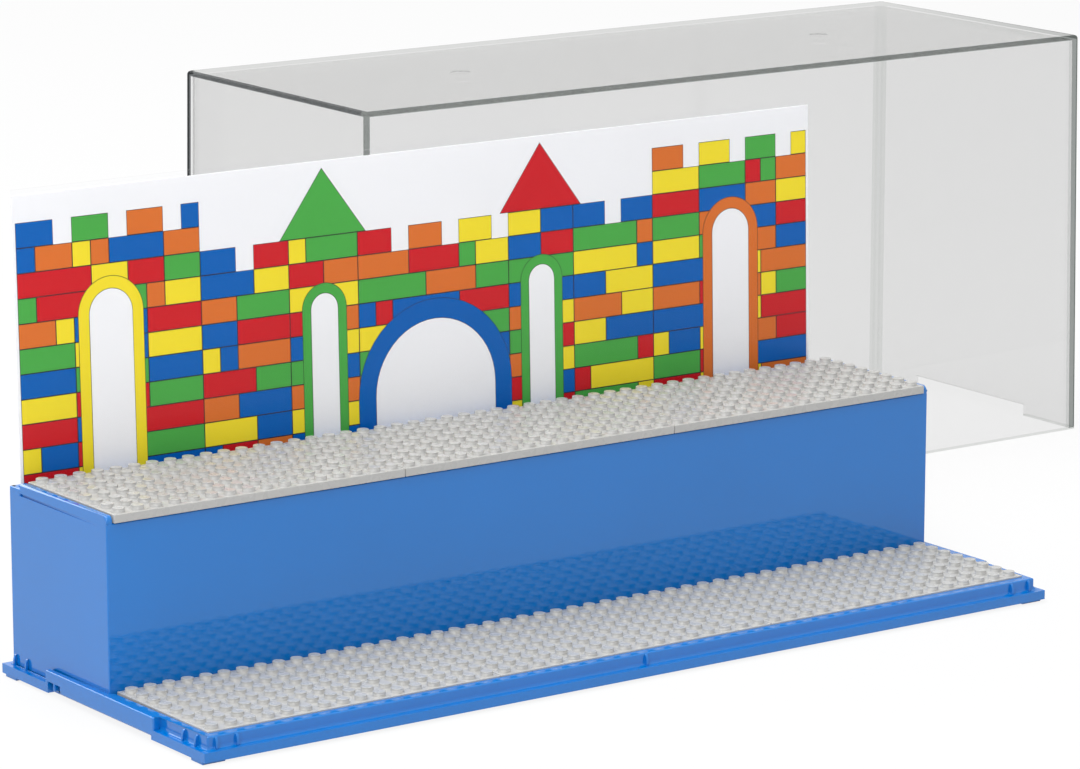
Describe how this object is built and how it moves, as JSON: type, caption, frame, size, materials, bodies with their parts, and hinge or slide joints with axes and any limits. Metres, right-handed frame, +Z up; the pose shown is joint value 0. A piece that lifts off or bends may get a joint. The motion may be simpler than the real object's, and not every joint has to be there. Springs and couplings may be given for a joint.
{
  "type": "two-tier building block storage box with clear cover",
  "caption": "Two-tier case for building blocks: tray with stud plates, riser with stud-plate lids over storage bins, upright backdrop and a lift-off clear cover.",
  "frame": {"origin": "on the floor, below the middle of the box round the case and its cover as they stand apart", "axes": "+Z up, +X along the case's long side, +Y from the case's front towards its back and the cover"},
  "size_m": [0.6162, 0.376, 0.1872],
  "materials": {
    "blue_plastic": "moulded, glossy",
    "grey_plastic": "moulded, glossy",
    "clear_sheet": "clear film, glossy",
    "printed_card": "printed white card",
    "clear_plastic": "clear, polished"
  },
  "bodies": {
    "base": {"base_tray": "blue_plastic", "riser_box": "blue_plastic", "lower_stud_plate_left": "grey_plastic", "lower_stud_plate_middle": "grey_plastic", "lower_stud_plate_right": "grey_plastic"},
    "lid_left": {"upper_stud_plate_left": "grey_plastic"},
    "lid_middle": {"upper_stud_plate_middle": "grey_plastic"},
    "lid_right": {"upper_stud_plate_right": "grey_plastic"},
    "backdrop": {"backdrop_sheet": "clear_sheet", "backdrop_card": "printed_card"},
    "cover": {"clear_cover": "clear_plastic"}
  },
  "joints": [
    {"name": "lid_left_lift", "type": "slide", "parent": "base", "child": "lid_left", "axis": [0, 0, 1], "range_m": [0, 0.04]},
    {"name": "lid_middle_lift", "type": "slide", "parent": "base", "child": "lid_middle", "axis": [0, 0, 1], "range_m": [0, 0.04]},
    {"name": "lid_right_lift", "type": "slide", "parent": "base", "child": "lid_right", "axis": [0, 0, 1], "range_m": [0, 0.04]},
    {"name": "backdrop_lift", "type": "slide", "parent": "base", "child": "backdrop", "axis": [0, 0.0253, 0.9997], "range_m": [0, 0.045]},
    {"name": "cover_lift", "type": "slide", "parent": "base", "child": "cover", "axis": [0, 0, 1], "range_m": [0, 0.19]}
  ]
}
